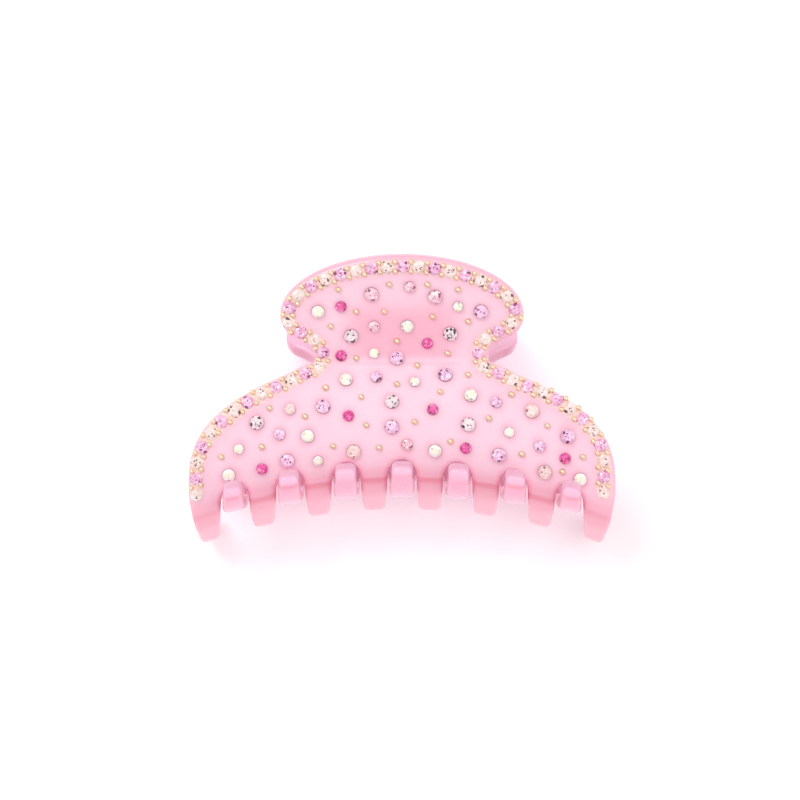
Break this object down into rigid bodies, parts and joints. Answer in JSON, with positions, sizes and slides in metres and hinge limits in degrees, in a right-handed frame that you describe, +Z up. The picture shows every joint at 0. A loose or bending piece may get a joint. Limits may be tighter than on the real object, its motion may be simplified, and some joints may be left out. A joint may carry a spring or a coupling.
{
  "type": "hair claw clip",
  "caption": "Wide hair claw clip: two curved toothed jaws with rounded thumb plates, sprung together at a pin, the front one dotted with small faceted stones.",
  "frame": {"origin": "middle of the clip's bounding box, on the plane that it lies on", "axes": "+X to the right along the hinge pin, +Y from the teeth towards the thumb plates, +Z up through the front jaw"},
  "size_m": [0.084, 0.0538, 0.0354],
  "materials": {
    "acetate": "polished, slightly translucent",
    "hinge_steel": "bright drawn wire",
    "stone_crystal": "clear, faceted, foil backed",
    "stone_aurora": "clear with a pearly coat, foil backed",
    "stone_champagne": "pale champagne, faceted, foil backed",
    "stone_rose": "pale rose, faceted, foil backed",
    "stone_lilac": "pale lilac, faceted, foil backed",
    "stone_fuchsia": "deep pink, faceted, foil backed",
    "gold_bead": "small polished gold-coloured beads"
  },
  "bodies": {
    "rear": {"rear_jaw": "acetate", "rear_lug_left": "acetate", "rear_lug_right": "acetate", "hinge_pin": "hinge_steel", "pin_cap_left": "hinge_steel", "pin_cap_right": "hinge_steel", "torsion_spring": "hinge_steel"},
    "front": {"front_jaw": "acetate", "front_lug_left": "acetate", "front_lug_right": "acetate", "rhinestone_01": "stone_rose", "rhinestone_02": "stone_rose", "rhinestone_03": "stone_rose", "rhinestone_04": "stone_rose", "rhinestone_05": "stone_rose", "rhinestone_06": "stone_fuchsia", "rhinestone_07": "stone_fuchsia", "rhinestone_08": "stone_fuchsia", "rhinestone_09": "stone_fuchsia", "rhinestone_10": "stone_fuchsia", "rhinestone_11": "stone_fuchsia", "rhinestone_12": "stone_fuchsia", "rhinestone_13": "stone_fuchsia", "rhinestone_14": "stone_aurora", "rhinestone_15": "stone_aurora", "rhinestone_16": "stone_aurora", "rhinestone_17": "stone_aurora", "rhinestone_18": "stone_aurora", "rhinestone_19": "stone_aurora", "rhinestone_20": "stone_aurora", "rhinestone_21": "stone_aurora", "rhinestone_22": "stone_aurora", "rhinestone_23": "stone_aurora", "rhinestone_24": "stone_aurora", "rhinestone_25": "stone_aurora", "rhinestone_26": "stone_aurora", "rhinestone_27": "stone_aurora", "rhinestone_28": "stone_lilac", "rhinestone_29": "stone_lilac", "rhinestone_30": "stone_lilac", "rhinestone_31": "stone_lilac", "rhinestone_32": "stone_lilac", "rhinestone_33": "stone_lilac", "rhinestone_34": "stone_lilac", "rhinestone_35": "stone_lilac", "rhinestone_36": "stone_lilac", "rhinestone_37": "stone_lilac", "rhinestone_38": "stone_lilac", "rhinestone_39": "stone_lilac", "rhinestone_40": "stone_crystal", "rhinestone_41": "stone_crystal", "rhinestone_42": "stone_crystal", "rhinestone_43": "stone_crystal", "rhinestone_44": "stone_crystal", "rhinestone_45": "stone_champagne", "rhinestone_46": "stone_champagne", "rhinestone_47": "stone_champagne", "rhinestone_48": "stone_champagne"}
  },
  "joints": [
    {"name": "jaw_hinge", "type": "hinge", "parent": "rear", "child": "front", "pos_m": [0, 0.00646, 0.01769], "axis": [-1, 0, 0], "range_deg": [0, 50], "stiffness_Nm_per_rad": 0.08, "springref_deg": -68.75, "deforming": ["torsion_spring"]}
  ]
}
